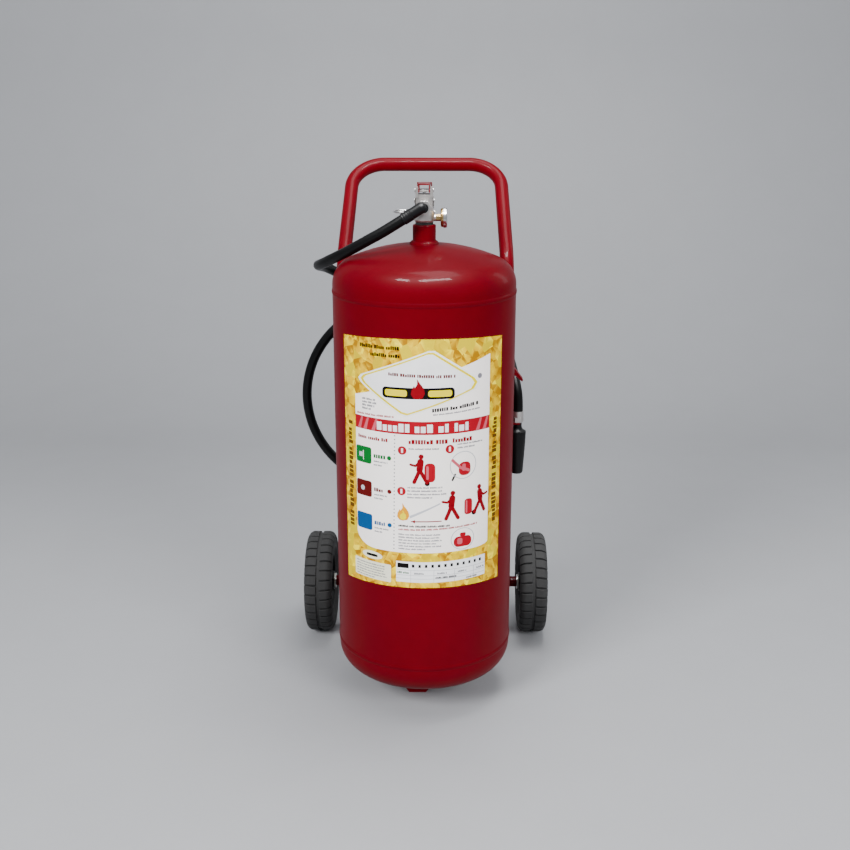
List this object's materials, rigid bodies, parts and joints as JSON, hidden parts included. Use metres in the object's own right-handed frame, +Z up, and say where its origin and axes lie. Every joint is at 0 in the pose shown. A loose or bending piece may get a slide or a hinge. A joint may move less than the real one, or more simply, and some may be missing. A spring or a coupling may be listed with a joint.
{
  "type": "wheeled fire extinguisher",
  "caption": "Upright red steel powder tank on two rubber-tyred wheels and a front foot, with a leaning handle, lever valve, gauge, and a hose looped behind it that ends in a gun.",
  "frame": {"origin": "on the floor, under the middle of the machine, hose left out", "axes": "+Z up, -Y towards the label, +Y towards the handle and the wheels, +X to the right as seen from the label"},
  "size_m": [0.633, 0.6223, 1.209],
  "materials": {
    "red_paint": "gloss enamel over welded steel",
    "red_lever": "gloss powder coat",
    "label_film": "printed self-adhesive film",
    "black_plastic": "moulded, fine grain",
    "tyre_rubber": "moulded lugs, dusty",
    "hose_rubber": "smooth extruded cover",
    "seal_rubber": "moulded",
    "valve_nickel": "nickel-plated forging, satin",
    "zinc_steel": "bright zinc plate",
    "spring_steel": "drawn wire",
    "brass": "turned",
    "chrome": "polished",
    "dial_paint": "printed dial with red, green and red sectors",
    "needle_paint": "matt black",
    "clear_lens": "clear",
    "nylon": "natural nylon"
  },
  "bodies": {
    "root": {"axle": "zinc_steel", "axle_sleeve": "red_paint", "bottom_head": "red_paint", "carry_grip": "valve_nickel", "front_foot": "red_paint", "gauge_bezel": "chrome", "gauge_case": "brass", "gauge_dial": "dial_paint", "gauge_lens": "clear_lens", "gauge_stem": "brass", "grip_rivets": "zinc_steel", "gun_body": "black_plastic", "gun_ferrule": "zinc_steel", "gun_holder": "red_paint", "gun_trigger_pin": "zinc_steel", "handle_end_plugs": "black_plastic", "handle_saddles": "red_paint", "handle_tube": "red_paint", "hose_ferrule": "black_plastic", "hose_guide": "red_paint", "hose_inner_turn": "hose_rubber", "hose_lead": "hose_rubber", "hose_outer_turn": "hose_rubber", "hose_rest": "red_paint", "hose_tail": "hose_rubber", "label": "label_film", "left_gusset": "red_paint", "left_split_pin": "zinc_steel", "left_washers": "zinc_steel", "lever_pin": "zinc_steel", "lower_weld": "red_paint", "neck_boss": "red_paint", "neck_gasket": "seal_rubber", "neck_weld": "red_paint", "outlet_elbow": "black_plastic", "outlet_nut": "valve_nickel", "right_gusset": "red_paint", "right_split_pin": "zinc_steel", "right_washers": "zinc_steel", "siphon_tube": "nylon", "tank_shell": "red_paint", "top_head": "red_paint", "upper_weld": "red_paint", "valve_body": "valve_nickel", "valve_spring": "spring_steel"},
    "left_wheel": {"left_tyre": "tyre_rubber", "left_rim": "black_plastic", "left_bushes": "nylon"},
    "right_wheel": {"right_tyre": "tyre_rubber", "right_rim": "black_plastic", "right_bushes": "nylon"},
    "lever_body": {"lever": "red_lever"},
    "stem_body": {"valve_stem": "brass", "stem_seal": "seal_rubber"},
    "safety_pin_body": {"safety_pin": "zinc_steel"},
    "needle_body": {"gauge_needle": "needle_paint"},
    "trigger_body": {"gun_trigger": "black_plastic"},
    "plunger_body": {"gun_plunger": "zinc_steel"}
  },
  "joints": [
    {"name": "left_wheel_spin", "type": "hinge", "parent": "root", "child": "left_wheel", "pos_m": [-0.2735, 0.1821, 0.129], "axis": [1, 0, 0], "continuous": true},
    {"name": "right_wheel_spin", "type": "hinge", "parent": "root", "child": "right_wheel", "pos_m": [0.2735, 0.1821, 0.129], "axis": [1, 0, 0], "continuous": true},
    {"name": "lever_squeeze", "type": "hinge", "parent": "root", "child": "lever_body", "pos_m": [0, -0.1208, 1.165], "axis": [-1, 0, 0], "range_deg": [0, 12], "stiffness_Nm_per_rad": 4, "springref_deg": -11.46},
    {"name": "stem_travel", "type": "slide", "parent": "root", "child": "stem_body", "axis": [0, 0, -1], "range_m": [0, 0.00262], "deforming": ["valve_spring"]},
    {"name": "safety_pin_pull", "type": "slide", "parent": "root", "child": "safety_pin_body", "axis": [-1, 0, 0], "range_m": [0, 0.06]},
    {"name": "needle_sweep", "type": "hinge", "parent": "root", "child": "needle_body", "pos_m": [0.0407, -0.1098, 1.106], "axis": [1, 0, 0], "range_deg": [-120, 120]},
    {"name": "trigger_squeeze", "type": "hinge", "parent": "root", "child": "trigger_body", "pos_m": [0.214, -0.0098, 0.619], "axis": [-1, 0, 0], "range_deg": [0, 10], "stiffness_Nm_per_rad": 2, "springref_deg": -11.46},
    {"name": "plunger_travel", "type": "slide", "parent": "root", "child": "plunger_body", "axis": [0, -1, 0], "range_m": [0, 0.00628]}
  ],
  "couplings": [
    {"joint": "stem_travel", "follows": "lever_squeeze", "m_per_rad": 0.0125},
    {"joint": "plunger_travel", "follows": "trigger_squeeze", "m_per_rad": 0.036}
  ]
}
